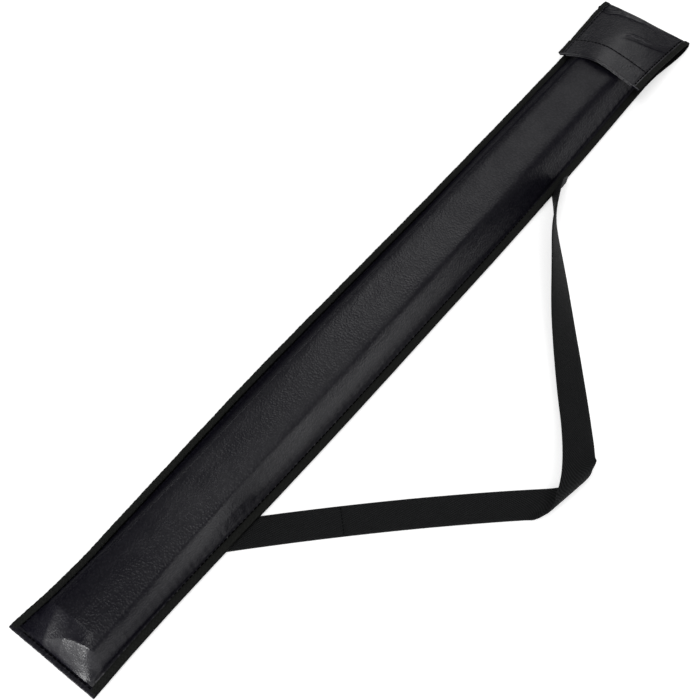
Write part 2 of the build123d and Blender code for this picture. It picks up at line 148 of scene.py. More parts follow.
def same(direction, line):
    """One direction for every point of a line."""
    return np.tile(direction, (len(line), 1))


def grid_uv(p):
    """Distances along both ways of a grid, in millimetres, measured on its middle lines."""
    rows, cols = p.shape[:2]
    along = distances(p[:, cols // 2])
    across = distances(p[rows // 2])
    u, v = np.meshgrid(along, across, indexing="ij")
    return np.stack([u, v], 2)


def shell(name, outer, inner, materials, uv=None):
    """Closed sheet between two grids of points; the first material is outside, the second inside."""
    rows, cols = outer.shape[:2]
    size = rows * cols
    points = np.concatenate([outer.reshape(-1, 3), inner.reshape(-1, 3)])
    uv = grid_uv(outer) if uv is None else uv
    uvs = np.concatenate([uv.reshape(-1, 2)] * 2)
    rim = np.r_[np.arange(cols), np.arange(1, rows) * cols + cols - 1,
                (rows - 1) * cols + np.arange(cols - 2, -1, -1), np.arange(rows - 2, 0, -1) * cols]
    after = np.roll(rim, -1)
    edge = np.stack([rim, after, after + size, rim + size], 1)
    faces = np.concatenate([grid_faces(rows, cols), grid_faces(rows, cols, size, True), edge])
    quads = (rows - 1) * (cols - 1)
    inside = min(1, len(materials) - 1)
    index = [0] * quads + [inside] * quads + [0] * len(edge)
    return outward(make_object(name, points, faces, uvs, index, materials))


def sweep(name, centres, side, up, section, materials, second=()):
    """Carries a closed (side, up) section along a line of centres.

    The runs of the section listed in second get the second material.
    """
    centres, side, up = (np.asarray(a, float) for a in (centres, side, up))
    section = np.asarray(section, float)
    rows, cols = len(centres), len(section)
    p = centres[:, None] + side[:, None] * section[None, :, :1] + up[:, None] * section[None, :, 1:]
    along = distances(centres)
    girth = distances(section)
    u, v = np.meshgrid(along, girth, indexing="ij")
    i, j = np.meshgrid(np.arange(rows - 1), np.arange(cols), indexing="ij")
    k = (j + 1) % cols
    quads = np.stack([i * cols + j, i * cols + k, (i + 1) * cols + k, (i + 1) * cols + j], 2)
    faces = quads.reshape(-1, 4).tolist()
    faces.append(list(range(cols - 1, -1, -1)))
    faces.append([(rows - 1) * cols + c for c in range(cols)])
    index = [int(c in second) for c in range(cols)] * (rows - 1) + [0, 0]
    uvs = np.stack([u, v], 2).reshape(-1, 2)
    return outward(make_object(name, p.reshape(-1, 3), faces, uvs, index, materials))


def outward(obj):
    """Turns a closed mesh's faces outward."""
    work = bmesh.new()
    work.from_mesh(obj.data)
    bmesh.ops.recalc_face_normals(work, faces=work.faces)
    work.to_mesh(obj.data)
    work.free()
    return obj


def smooth_line(control, count):
    """Quadratic B-spline through the middles of a control line's runs, at evenly spaced parameters."""
    c = np.asarray(control, float)
    n = len(c)
    t = np.linspace(0, n - 2 - 1e-9, count)
    span = np.floor(t).astype(int)
    f = t - span
    a, b, d = c[span], c[span + 1], c[span + 2]
    start = np.where(span == 0, a.T, (a.T + b.T) / 2).T
    end = np.where(span == n - 3, d.T, (b.T + d.T) / 2).T
    f = f[:, None]
    return (1 - f) ** 2 * start + 2 * f * (1 - f) * b + f ** 2 * end


def even(line, count):
    """The same line with evenly spaced points."""
    d = distances(line)
    t = np.linspace(0, d[-1], count)
    return np.stack([np.interp(t, d, line[:, k]) for k in range(line.shape[1])], 1)


def ramp(x, low, high):
    """Smooth step from 0 at low to 1 at high."""
    t = np.clip((np.asarray(x, float) - low) / (high - low), 0, 1)
    return t * t * (3 - 2 * t)


def ripple(points, scale, seed):
    """Smooth noise from -1 to 1 at each point, with features about scale millimetres wide."""
    flat = np.asarray(points, float).reshape(-1, 3)
    values = [noise.noise(Vector((p[0] / scale[0] + seed, p[1] / scale[1], p[2] / scale[2]))) for p in flat]
    return np.asarray(values).reshape(np.asarray(points).shape[:-1])


# --- materials ---------------------------------------------------------------------------------------

def new_material(name):
    m = bpy.data.materials.new(name)
    m.use_nodes = True
    tree = m.node_tree
    return m, tree, tree.nodes["Principled BSDF"]


def add(tree, kind, **values):
    """A node with some of its properties and unlinked inputs set."""
    node = tree.nodes.new(kind)
    for key, value in values.items():
        if hasattr(node, key):
            setattr(node, key, value)
        else:
            node.inputs[key.replace("_", " ").title()].default_value = value
    return node


def placed(tree, at, kind, **values):
    """A node that reads the coordinates at."""
    node = add(tree, kind, **values)
    tree.links.new(at, node.inputs["Vector"])
    return node


def cloth_coordinates(tree):
    """The cloth's own coordinates, in millimetres."""
    return add(tree, "ShaderNodeUVMap", uv_map="cloth").outputs["UV"]


def math_node(tree, operation, a, b=None, clamp=False):
    node = tree.nodes.new("ShaderNodeMath")
    node.operation = operation
    node.use_clamp = clamp
    for socket, value in zip(node.inputs, (a, b)):
        if value is None:
            continue
        if isinstance(value, (int, float)):
            socket.default_value = value
        else:
            tree.links.new(value, socket)
    return node.outputs[0]


def band(tree, value, low, high, out_low=0.0, out_high=1.0):
    node = tree.nodes.new("ShaderNodeMapRange")
    node.interpolation_type = "SMOOTHSTEP"
    tree.links.new(value, node.inputs["Value"])
    for key, v in (("From Min", low), ("From Max", high), ("To Min", out_low), ("To Max", out_high)):
        node.inputs[key].default_value = v
    return node.outputs["Result"]


def colour_mix(tree, factor, a, b):
    node = tree.nodes.new("ShaderNodeMix")
    node.data_type = "RGBA"
    tree.links.new(factor, node.inputs["Factor"])
    node.inputs[6].default_value = (*a, 1)
    node.inputs[7].default_value = (*b, 1)
    return node.outputs[2]


def bump(tree, shader, height, distance):
    node = tree.nodes.new("ShaderNodeBump")
    node.inputs["Distance"].default_value = distance
    node.inputs["Strength"].default_value = 1.0
    tree.links.new(height, node.inputs["Height"])
    tree.links.new(node.outputs["Normal"], shader.inputs["Normal"])


CLOTH_DARK = (0.0042, 0.0039, 0.0072)
CLOTH_LIGHT = (0.0100, 0.0094, 0.0135)
PEBBLE_DEPTH = 0.00011      # in metres, as all bump distances are
LEFT_RIDGE_AT = (71.5, 77.5)  # where the duller left ridge starts, across the cloth from its right edge
LEFT_RIDGE_GLOSS = 0.12


def leatherette(name, gloss=None, level=0.5):
    """Black coated cloth with a fine grain of pebbles about two millimetres wide, duller at a glance.

    gloss gives pairs of a share of the case's length and how polished the cloth is there; cloth with a
    gloss is also duller over its left ridge.
    """
    m, tree, shader = new_material(name)
    at = cloth_coordinates(tree)
    warp = placed(tree, at, "ShaderNodeTexNoise", Scale=0.3, Detail=2.0)
    shift = add(tree, "ShaderNodeVectorMath", operation="MULTIPLY_ADD")
    tree.links.new(warp.outputs["Color"], shift.inputs[0])
    shift.inputs[1].default_value = (1.2, 1.2, 0)
    tree.links.new(at, shift.inputs[2])
    cells = add(tree, "ShaderNodeTexVoronoi", feature="SMOOTH_F1", Scale=0.56, Randomness=1.0,
                Smoothness=0.35)
    tree.links.new(shift.outputs[0], cells.inputs["Vector"])
    pebble = band(tree, cells.outputs["Distance"], 0.75, 0.12)
    fine = placed(tree, at, "ShaderNodeTexNoise", Scale=0.9, Detail=2.0, Roughness=0.5)
    wide = placed(tree, at, "ShaderNodeTexNoise", Scale=0.045, Detail=3.0, Roughness=0.55)
    height = math_node(tree, "MULTIPLY_ADD", fine.outputs["Fac"], 0.45)
    tree.links.new(pebble, height.node.inputs[2])
    colour = colour_mix(tree, pebble, CLOTH_DARK, CLOTH_LIGHT)
    tree.links.new(colour, shader.inputs["Base Color"])
    rough = band(tree, wide.outputs["Fac"], 0.3, 0.7, 0.34, 0.43)
    worn = math_node(tree, "MULTIPLY_ADD", pebble, -0.07)
    tree.links.new(rough, worn.node.inputs[2])
    tree.links.new(worn, shader.inputs["Roughness"])
    glance = add(tree, "ShaderNodeLayerWeight", Blend=0.5)
    level = band(tree, glance.outputs["Facing"], 0.24, 0.62, level, 0.02)
    if gloss:
        split = placed(tree, at, "ShaderNodeSeparateXYZ")
        level = math_node(tree, "MULTIPLY", level, along_case(tree, split.outputs[0], gloss))
        dull = band(tree, split.outputs[1], *LEFT_RIDGE_AT, 1.0, LEFT_RIDGE_GLOSS)
        level = math_node(tree, "MULTIPLY", level, dull)
    tree.links.new(level, shader.inputs["Specular IOR Level"])
    bump(tree, shader, height, PEBBLE_DEPTH)
    return m


def along_case(tree, distance, stops):
    """Value that changes smoothly along the case, from pairs of a share of its length and a value."""
    node = tree.nodes.new("ShaderNodeValToRGB")
    ramp_stops = node.color_ramp
    ramp_stops.interpolation = "B_SPLINE"
    while len(ramp_stops.elements) < len(stops):
        ramp_stops.elements.new(0.5)
    for stop, (place, value) in zip(ramp_stops.elements, stops):
        stop.position = place
        stop.color = (value, value, value, 1)
    tree.links.new(math_node(tree, "DIVIDE", distance, MOUTH), node.inputs["Fac"])
    return node.outputs["Color"]


def weave(name, dark, light, pitch, distance, roughness):
    """Plain woven cloth, with threads each way every pitch millimetres."""
    m, tree, shader = new_material(name)
    at = cloth_coordinates(tree)
    split = placed(tree, at, "ShaderNodeSeparateXYZ")
    turn = 2 * math.pi / pitch
    warp = math_node(tree, "SINE", math_node(tree, "MULTIPLY", split.outputs[0], turn))
    weft = math_node(tree, "SINE", math_node(tree, "MULTIPLY", split.outputs[1], turn))
    over = math_node(tree, "MULTIPLY", warp, weft)
    fibre = placed(tree, at, "ShaderNodeTexNoise", Scale=2.4, Detail=4.0)
    height = math_node(tree, "MULTIPLY_ADD", over, 0.5)
    tree.links.new(fibre.outputs["Fac"], height.node.inputs[2])
    shade = band(tree, height, 0.0, 1.1)
    tree.links.new(colour_mix(tree, shade, dark, light), shader.inputs["Base Color"])
    shader.inputs["Roughness"].default_value = roughness
    shader.inputs["Specular IOR Level"].default_value = 0.12
    bump(tree, shader, height, distance)
    return m


RIB_PITCH = 2.6
KNUCKLE_PITCH = 1.55


def webbing_material():
    """Polypropylene webbing: ribs across it, broken into rows of short knuckles, with darker gaps."""
    m, tree, shader = new_material("webbing")
    at = cloth_coordinates(tree)
    split = placed(tree, at, "ShaderNodeSeparateXYZ")
    rib = math_node(tree, "MULTIPLY", split.outputs[0], 2 * math.pi / RIB_PITCH)
    row = math_node(tree, "MULTIPLY", split.outputs[1], 2 * math.pi / KNUCKLE_PITCH)
    ribs = math_node(tree, "SINE", rib)
    rows = math_node(tree, "SINE", row)
    lean = math_node(tree, "SINE", math_node(tree, "ADD", rib, row))
    cross = math_node(tree, "MULTIPLY", ribs, rows)
    knuckle = math_node(tree, "MULTIPLY_ADD", cross, 0.6)
    tree.links.new(math_node(tree, "MULTIPLY", lean, 0.25), knuckle.node.inputs[2])
    fibre = placed(tree, at, "ShaderNodeTexNoise", Scale=3.5, Detail=3.0)
    height = math_node(tree, "MULTIPLY_ADD", fibre.outputs["Fac"], 0.5)
    tree.links.new(knuckle, height.node.inputs[2])
    shade = band(tree, height, -0.4, 1.0)
    colour = colour_mix(tree, shade, (0.002, 0.0022, 0.0023), (0.0195, 0.0205, 0.0215))
    tree.links.new(colour, shader.inputs["Base Color"])
    shader.inputs["Roughness"].default_value = 0.7
    shader.inputs["Specular IOR Level"].default_value = 0.12
    bump(tree, shader, height, 0.00045)
    return m


def thread_material():
    """Twisted black thread."""
    m, tree, shader = new_material("thread")
    at = cloth_coordinates(tree)
    twist = placed(tree, at, "ShaderNodeTexWave", Scale=1.3, Distortion=0.6)
    tree.links.new(colour_mix(tree, twist.outputs["Fac"], (0.0003, 0.0003, 0.0004), (0.0012, 0.0012, 0.0014)),
                   shader.inputs["Base Color"])
    shader.inputs["Roughness"].default_value = 0.8
    shader.inputs["Specular IOR Level"].default_value = 0.02
    bump(tree, shader, twist.outputs["Fac"], 0.0001)
    return m


def plain_noise(name, dark, light, scale, roughness, distance):
    """Board, foam or hook tape: mottled colour with a fine uneven surface, in the node's own space."""
    m, tree, shader = new_material(name)
    at = add(tree, "ShaderNodeTexCoord").outputs["Object"]
    grain = add(tree, "ShaderNodeTexNoise", Scale=scale, Detail=5.0, Roughness=0.6)
    tree.links.new(at, grain.inputs["Vector"])
    tree.links.new(colour_mix(tree, grain.outputs["Fac"], dark, light), shader.inputs["Base Color"])
    shader.inputs["Roughness"].default_value = roughness
    bump(tree, shader, grain.outputs["Fac"], distance)
    return m


LEATHER = leatherette("leatherette")
HEM_LEATHER = leatherette("hem_leatherette", level=0.16)
RIM_LEATHER = leatherette("rim_leatherette", level=0.7)
# The front's gloss along the case, at shares of its length: shinier over its bottom end and its middle.
FRONT_GLOSS = [(0.0, 1.6), (0.024, 1.45), (0.04, 0.38), (0.13, 0.42), (0.26, 1.3), (0.42, 1.25), (0.56, 0.95),
               (0.75, 0.58), (1.0, 0.42)]
HANDLED = leatherette("front_leatherette", FRONT_GLOSS)
BINDING = weave("binding_tape", (0.0050, 0.0053, 0.0046), (0.0200, 0.0211, 0.0190), 1.5, 0.00025, 0.8)
# Painted shade: a darker copy of the binding tape, on the tape's outer fold and on the flap tape's faces
# inside the fold and under the flap.
PAINTED_SHADE_TAPE = weave("binding_tape_painted_shade", (0.0006, 0.0006, 0.0006), (0.0026, 0.0027, 0.0025), 1.5, 0.0002, 0.9)
LINING = weave("lining", (0.004, 0.004, 0.0043), (0.010, 0.010, 0.0108), 0.6, 0.0001, 0.85)
WEB = webbing_material()
THREAD = thread_material()
BOARD = plain_noise("board", (0.30, 0.22, 0.14), (0.45, 0.35, 0.24), 900.0, 0.85, 0.00008)
FOAM = plain_noise("foam", (0.16, 0.16, 0.165), (0.34, 0.34, 0.345), 2200.0, 0.95, 0.0002)
FELT = plain_noise("felt", (0.006, 0.006, 0.006), (0.02, 0.02, 0.021), 1500.0, 0.9, 0.0002)
HOOKS = plain_noise("hook_and_loop", (0.006, 0.006, 0.006), (0.03, 0.03, 0.03), 2600.0, 0.75, 0.0004)


# --- strap -------------------------------------------------------------------------------------------

# Route of the strap's middle line: x from the bottom edge, y, z, then the bearing of the webbing's left edge
# as seen from the middle line, and the roll of that edge about the line, downwards, both in degrees.
STRAP_ROUTE = [
    (112.0, 7.0, 1.1, 46, 0),
    (136.5, -17.5, 1.1, 46, 0),
    (161.5, -40.2, 1.1, 47, 0),
    (203.0, -79.5, 1.1, 46, 0),
    (246.6, -122.6, 1.1, 45, 0),
    (282.0, -159.4, 1.1, 43, 0),
    (306.0, -185.2, 1.1, 22, 0),
    (325.5, -207.2, 1.3, -10, 0),
    (335.6, -213.7, 9.1, -10, 0),
    (347.4, -211.1, 17.1, -10, 0),
    (364.0, -201.5, 15.5, -34, 8),
    (385.0, -186.5, 10.0, -54, 13),
    (408.0, -167.5, 6.8, -51, 15),
    (436.0, -144.0, 6.4, -50, 24),
    (466.0, -118.5, 9.0, -50, 37),
    (498.0, -93.5, 11.6, -50, 54),
    (528.0, -69.0, 13.2, -50, 70),
    (545.0, -57.8, 13.4, -50, 86),
    (559.0, -49.6, 13.6, -50, 96),
    (571.0, -42.6, 11.4, -50, 107),
    (580.0, -31.5, 3.0, -58, 162),
    (603.0, -25.5, 1.1, -60, 180),
    (628.0, -19.0, 1.1, -70, 180),
    (650.0, -12.5, 1.1, -72, 180),
    (676.0, -5.0, 1.1, -74, 180),
]
ROUTE_STEPS = 14            # points read from the spline between two route points


def route_line():
    """Points read from the route's own NURBS spline, in metres."""
    curve = bpy.data.curves.new("strap_line", "CURVE")
    curve.dimensions = "3D"
    spline = curve.splines.new("NURBS")
    spline.points.add(len(STRAP_ROUTE) - 1)
    for point, place in zip(spline.points, metres([p[:3] for p in STRAP_ROUTE])):
        point.co = (*place, 1)
    spline.order_u = 3
    spline.use_endpoint_u = True
    spline.resolution_u = ROUTE_STEPS
    holder = bpy.data.objects.new("strap_line", curve)
    bpy.context.scene.collection.objects.link(holder)
    bpy.context.view_layer.update()
    mesh = bpy.data.meshes.new_from_object(holder.evaluated_get(bpy.context.evaluated_depsgraph_get()))
    line = np.array([v.co for v in mesh.vertices], float)
    bpy.data.objects.remove(holder)
    bpy.data.meshes.remove(mesh)
    return line


def soften(values, reach):
    """Running mean over reach values each side, with the ends held."""
    padded = np.pad(values, [(reach, reach)] + [(0, 0)] * (values.ndim - 1), mode="edge")
    kernel = np.hanning(2 * reach + 3)[1:-1]
    kernel /= kernel.sum()
    if values.ndim == 1:
        return np.convolve(padded, kernel, "valid")
    return np.stack([np.convolve(padded[:, k], kernel, "valid") for k in range(values.shape[1])], 1)


def strap_sides(line):
    """Direction across the webbing at each point of its line, longer where it crosses the line on a slant."""
    count = len(STRAP_ROUTE)
    t = np.linspace(0, count - 2, len(line))
    at_control = np.r_[0, np.arange(count - 2) + 0.5, count - 2]
    place = np.interp(t, at_control, np.arange(count))
    angles = np.radians([p[3:] for p in STRAP_ROUTE])
    bearing = soften(np.interp(place, np.arange(count), angles[:, 0]), 5)
    roll = soften(np.interp(place, np.arange(count), angles[:, 1]), 5)
    across = np.stack([np.cos(roll) * np.cos(bearing), np.cos(roll) * np.sin(bearing), -np.sin(roll)], 1)
    tangent = np.gradient(line, axis=0)
    tangent /= np.linalg.norm(tangent, axis=1, keepdims=True)
    slant = np.linalg.norm(np.cross(across, tangent), axis=1, keepdims=True)
    return across / slant


UNDER_CASE = 1.15           # how high the webbing's middle may lie under the case
FREE_HEIGHT = 60.0          # higher than any point of the webbing outside the case


def under_case(p):
    """Lowers what lies under the case's edge, so that the webbing slips in below the binding."""
    inside = ramp(p[..., 1], -HALF_WIDTH - 3.0, -HALF_WIDTH)
    ceiling = FREE_HEIGHT * (1 - inside) + UNDER_CASE * inside
    p = p.copy()
    near_case = (p[..., 0] > 60) & (p[..., 1] > -HALF_WIDTH - 6.0)
    p[..., 2] = np.where(near_case, np.minimum(p[..., 2], ceiling), p[..., 2])
    p[..., 2] = np.maximum(p[..., 2], WEBBING / 2 + 0.1)
    return p


def build_strap():
    line = route_line()
    mm_line = (line - np.array([BOTTOM, 0, 0])) / MM
    across = strap_sides(mm_line)
    columns = np.linspace(-1, 1, 27)
    middle = mm_line[:, None] + across[:, None] * (columns[None, :, None] * WEBBING_WIDTH / 2)
    middle = under_case(middle)
    n = grid_normals(middle)
    edge = np.sqrt(1 - 0.86 * np.abs(columns) ** 14)
    rib = 1 + 0.07 * np.cos(columns * math.pi * 8)
    thick = (WEBBING / 2 * edge * rib)[None, :, None]
    along = distances(mm_line)
    u, v = np.meshgrid(along, columns * WEBBING_WIDTH / 2, indexing="ij")
    uv = np.stack([u, v], 2)
    strap = shell("shoulder_strap_webbing", middle + n * thick, middle - n * thick, [WEB], uv)
    return strap, line, mm_line, across


strap, strap_line, strap_mm, strap_across = build_strap()


# --- panels ------------------------------------------------------------------------------------------

SEAM_IN = 6.4               # how far the seam lies inside the case's edge
HIP_END = 20.0              # where the sloped bottom end reaches full height
HIP_START = 3.2
CORNER_END = 28.4           # where the sagging bottom left corner reaches full height
FALL_START = 672.0          # where the front falls towards the mouth
PADDING = 1.5               # foam glued under the front panel

# Half widths over the bindings at stations along the case: it is fuller in the middle, narrower near the
# mouth, and flares at its bottom left corner.
EDGE_STATIONS = [0, 15, 35, 60, 120, 200, 260, 320, 400, 480, 560, 640, 700, MOUTH + 3]
LEFT_HALF = [45.2, 44.1, 42.4, 41.3, 42.1, 43.6, 44.3, 43.9, 42.7, 41.6, 41.2, 41.0, 41.1, 41.3]
RIGHT_HALF = [39.2, 38.8, 38.3, 38.1, 38.6, 40.4, 41.3, 41.8, 42.0, 42.3, 41.7, 40.2, 38.6, 38.2]


def through(x, stations, values):
    """Smooth curve through values given at stations."""
    x = np.asarray(x, float)
    stations, values = np.asarray(stations, float), np.asarray(values, float)
    slope = np.gradient(values, stations)
    i = np.clip(np.searchsorted(stations, x) - 1, 0, len(stations) - 2)
    h = stations[i + 1] - stations[i]
    t = np.clip((x - stations[i]) / h, 0, 1)
    a = (1 + 2 * t) * (1 - t) ** 2 * values[i] + t * (1 - t) ** 2 * h * slope[i]
    return a + t * t * (3 - 2 * t) * values[i + 1] + t * t * (t - 1) * h * slope[i + 1]


def left_edge(x):
    return through(x, EDGE_STATIONS, LEFT_HALF)


def right_edge(x):
    return through(x, EDGE_STATIONS, RIGHT_HALF)


# Half of the front panel's section, as distance from the middle line and height: crisp in the middle of the
# case, wider at its bottom end and rounder by the mouth.
SECTION_NEAR = [(0, 31.0), (9, 30.8), (16.5, 30.0), (22.4, 27.8), (27.3, 21.4), (31.3, 13.4), (33.9, 7.8),
                (35.4, 5.7), (36.4, 4.95), (37.6, 5.1), (41.4, 5.0)]
SECTION = [(0, 31.0), (9, 30.8), (16.5, 29.9), (20.6, 28.3), (24.4, 21.5), (29.0, 13.0), (32.2, 7.0),
           (34.4, 5.0), (35.6, 4.75), (37.0, 5.1), (41.4, 5.0)]
SECTION_FAR = [(0, 31.0), (9, 30.7), (16.4, 29.6), (21.0, 26.8), (25.6, 21.0), (30.0, 14.6), (33.4, 9.6),
               (35.4, 6.4), (36.4, 5.0), (37.6, 5.1), (41.4, 5.0)]
SECTION_HALF = SECTION[-1][0]
SECTION_LINES = 64          # lines of the skin's grid along one half of the case
# Where each of those points lies across at the bottom edge, where the ridges run out into the corners.
SECTION_AT_HEM = [0, 17.0, 31.0, 36.2, 37.4, 38.2, 38.8, 39.2, 39.6, 40.1, 41.4]
# Crest of the sloped end, from right to left: place across, how far from the edge, and its share of the full
# height.
CREST_ACROSS = [-20, -8, 1, 9.6, 14.5, 20, 26, 41]
CREST_ALONG = [HIP_END, 17.3, 14.0, 10.5, 8.4, 6.4, 5.2, 5.0]
CREST_RISE = [1.0, 0.86, 0.72, 0.47, 0.34, 0.23, 0.17, 0.1]
NEAR_FADES = (30, 150)      # where the bottom end's section turns into the middle one
FAR_GROWS = (430, 600)      # where the middle section turns into the one by the mouth
FALL_SHARE = 0.36           # how much of its height the front would lose by the end of its fall
STRETCH_FROM = 18.0         # the section is stretched to the case's edge from here outward


def front_points():
    """Outer face of the front panel as a grid.

    The sloped end has a crisp ridge to the bottom right corner; on the left it sags to the corner.
    """
    x = np.r_[np.arange(HIP_START, 48, 0.7), np.arange(48, FALL_START - 8, 1.5),
              np.linspace(FALL_START - 8, MOUTH, 36)]
    low = SECTION[-1][1]
    at_hem = [(y, low) for y in SECTION_AT_HEM]
    near, middle, far, hem = (mirrored(even(smooth_line(half, 200), SECTION_LINES))
                              for half in (SECTION_NEAR, SECTION, SECTION_FAR, at_hem))
    rows = []
    for station in x:
        full = middle + (near - middle) * (1 - ramp(station, *NEAR_FADES))
        full = full + (far - middle) * ramp(station, *FAR_GROWS)
        crest = np.interp(full[:, 0], CREST_ACROSS, CREST_ALONG)
        share = np.interp(full[:, 0], CREST_ACROSS, CREST_RISE)
        steep = np.clip((station - HIP_START) / (crest - HIP_START), 0, 1)
        after = np.clip((station - crest) / (CORNER_END - crest), 0, 1)
        rise = share * (steep + 0.05 * np.sin(math.pi * steep)) + (1 - share) * (1 - (1 - after) ** 1.12)
        section = hem + (full - hem) * rise[:, None]
        fall = FALL_SHARE * float(ramp(station, FALL_START, MOUTH + 20))
        section[:, 1] -= (section[:, 1] - low) * fall
        left, right = float(left_edge(station)) - TAPE, float(right_edge(station)) - TAPE
        stretch = np.where(section[:, 0] > 0, left - SECTION_HALF, -(right - SECTION_HALF))
        stretch = stretch * ramp(np.abs(section[:, 0]), STRETCH_FROM, SECTION_HALF)
        rows.append(np.stack([np.full(len(section), station), section[:, 0] + stretch, section[:, 1]], 1))
    return np.array(rows)


def mirrored(half):
    """Both halves of a section from its right half, from the right edge to the left one."""
    return np.concatenate([half[:0:-1] * np.array([-1.0, 1.0]), half])


def front_creases(p):
    """Soft unevenness of coated cloth over a stiff box: long waves, small dents, and puckers at the seams."""
    x, y = p[..., 0], p[..., 1]
    height = ramp(p[..., 2], 5.2, 9.0)
    waves = 0.38 * ripple(p, (95.0, 17.0, 16.0), 3.1) + 0.22 * ripple(p, (34.0, 9.0, 9.0), 11.7)
    dents = 0.10 * ripple(p, (11.0, 4.5, 5.0), 27.4)
    seam = np.minimum(np.abs(y - (left_edge(x) - SEAM_IN)), np.abs(y + (right_edge(x) - SEAM_IN)))
    pucker = 0.16 * np.exp(-((seam - 2.6) / 2.6) ** 2) * (
        np.sin(x * 2 * math.pi / 8.4 + 1.7 * np.sin(x / 19.0)) + 0.6 * np.sin(x * 2 * math.pi / 5.3))
    groove = -0.6 * np.exp(-(seam / 0.9) ** 2)
    return height * (waves + dents) + pucker + groove


def build_front():
    """Front panel with the foam glued under it, thinning out to the bare sheet at the sewn margins."""
    p = front_points()
    outer = p + upward(grid_normals(p)) * front_creases(p)[..., None]
    thick = SHEET + PADDING * ramp(p[..., 2], 6.0, 9.0)
    inner = outer - upward(grid_normals(outer)) * thick[..., None]
    return shell("front_panel_skin", outer, inner, [HANDLED, LINING])


def upward(normals):
    """The same normals, turned so that most point up."""
    return normals * np.sign(normals[..., 2].mean())


front = build_front()


def lift_over_strap(x, y):
    """How far the back yields over the strap's hidden ends."""
    hidden = strap_mm[(strap_mm[:, 1] > -HALF_WIDTH - 14)]
    lift = np.zeros_like(x)
    for part in (hidden[hidden[:, 0] < 300][::5], hidden[hidden[:, 0] > 300][::5]):
        gap = np.sqrt(((x[..., None] - part[:, 0]) ** 2 + (y[..., None] - part[:, 1]) ** 2)).min(-1)
        lift = np.maximum(lift, 1 - ramp(gap, 12.8, 19.0))
    return 2.0 * lift


def build_back():
    """Back sheet under the case, resting on the table and lifting towards the bound edges."""
    x = np.r_[np.arange(HIP_START, MOUTH, 3.0), MOUTH + 1.0]
    t = np.linspace(-1, 1, 61)
    rows = []
    for station in x:
        left, right = float(left_edge(station)) - TAPE, float(right_edge(station)) - TAPE
        y = np.where(t > 0, t * left, t * right)
        edge = np.where(t > 0, left, right)
        rise = ramp(np.abs(y), edge - 16.0, edge - 5.5) * (MARGIN_UNDER - 0.1)
        end = (MARGIN_UNDER - 0.1) * (1 - ramp(station, HIP_START + 1, 15.0))
        z = 0.1 + np.maximum(rise, end)
        rows.append(np.stack([np.full_like(y, station), y, z], 1))
    p = np.array(rows)
    p[..., 2] = np.maximum(p[..., 2], 0.1 + lift_over_strap(p[..., 0], p[..., 1]))
    p[..., 2] += 0.15 * (1 + ripple(p, (40.0, 15.0, 10.0), 5.0)) * (1 - ramp(np.abs(p[..., 1]), 30, 36))
    upper = p + np.array([0, 0, SHEET - 0.15])
    return shell("back_panel_skin", p, upper, [LEATHER, LINING])


back = build_back()


# --- flap --------------------------------------------------------------------------------------------

# Three lines along the sheet from the mouth, along the back, round the fold and over the front to its free
# edge: the right edge, the middle and the left edge. The fold is skewed: its right corner lies lower and
# further out.
FLAP_RIGHT = [(MOUTH + 1.2, -38.0, 3.6), (737, -37.8, 2.6), (752, -39.6, 1.8), (767, -41.6, 1.3),
              (780.5, -42.8, 1.2), (789.0, -43.0, 3.8), (789.2, -42.8, 8.2), (780.5, -42.6, 11.2),
              (766, -42.5, 14.0), (748, -42.5, 17.2), (722, -42.5, 22.2), (697, -42.5, 24.0)]
FLAP_MIDDLE = [(MOUTH + 1.2, 0, 1.3), (736, 0, 1.6), (750, 0, 3.8), (763.5, 0, 6.6), (774, 0, 8.8),
               (778.9, 0, 12.4), (778.3, 0, 17.4), (773, 0, 22.4), (762, 0, 27.4), (747, 0, 31.0),
               (723, 0, 33.0), (695.5, 0, 33.2)]
FLAP_LEFT = [(MOUTH + 1.2, 41.0, 3.6), (737, 41.6, 2.6), (752, 42.4, 3.0), (764.4, 43.0, 4.8),
             (773.1, 43.2, 7.4), (778.6, 43.3, 10.8), (778.8, 43.3, 15.0), (772, 43.3, 17.2),
             (759.4, 43.3, 16.8), (744, 43.3, 14.4), (722, 43.2, 11.8), (700.5, 42.9, 10.6)]
FLAP_ROWS = 160
FLAP_HEM = 20.0             # how far the hem's stitches lie from the front edge
FLAP_THICK = 1.9            # the sheet with its lining
HEM_EXTRA = 1.0             # how much thicker the sheet is over its hem
FOLD_SHARE = 0.42           # where the fold's tip comes along the sheet


def flap_points():
    """Outer face of the tongue and flap as a grid, from the mouth to the front edge."""
    right, middle, left = (even(smooth_line(g, 900), FLAP_ROWS) for g in (FLAP_RIGHT, FLAP_MIDDLE, FLAP_LEFT))
    t = np.linspace(-1, 1, 77)
    soft = (np.sqrt(t * t + 0.06) - 0.06 ** 0.5) / (1.06 ** 0.5 - 0.06 ** 0.5)
    bend = np.where(t > 0, 0.6 * t * t + 0.4 * soft, soft)[None]
    side = np.where(t > 0, 1.0, 0.0)[None, :, None]
    edge = right[:, None] * (1 - side) + left[:, None] * side
    p = middle[:, None] + (edge - middle[:, None]) * bend[..., None]
    p[..., 1] = (edge * np.abs(t)[None, :, None])[..., 1]
    return p, middle


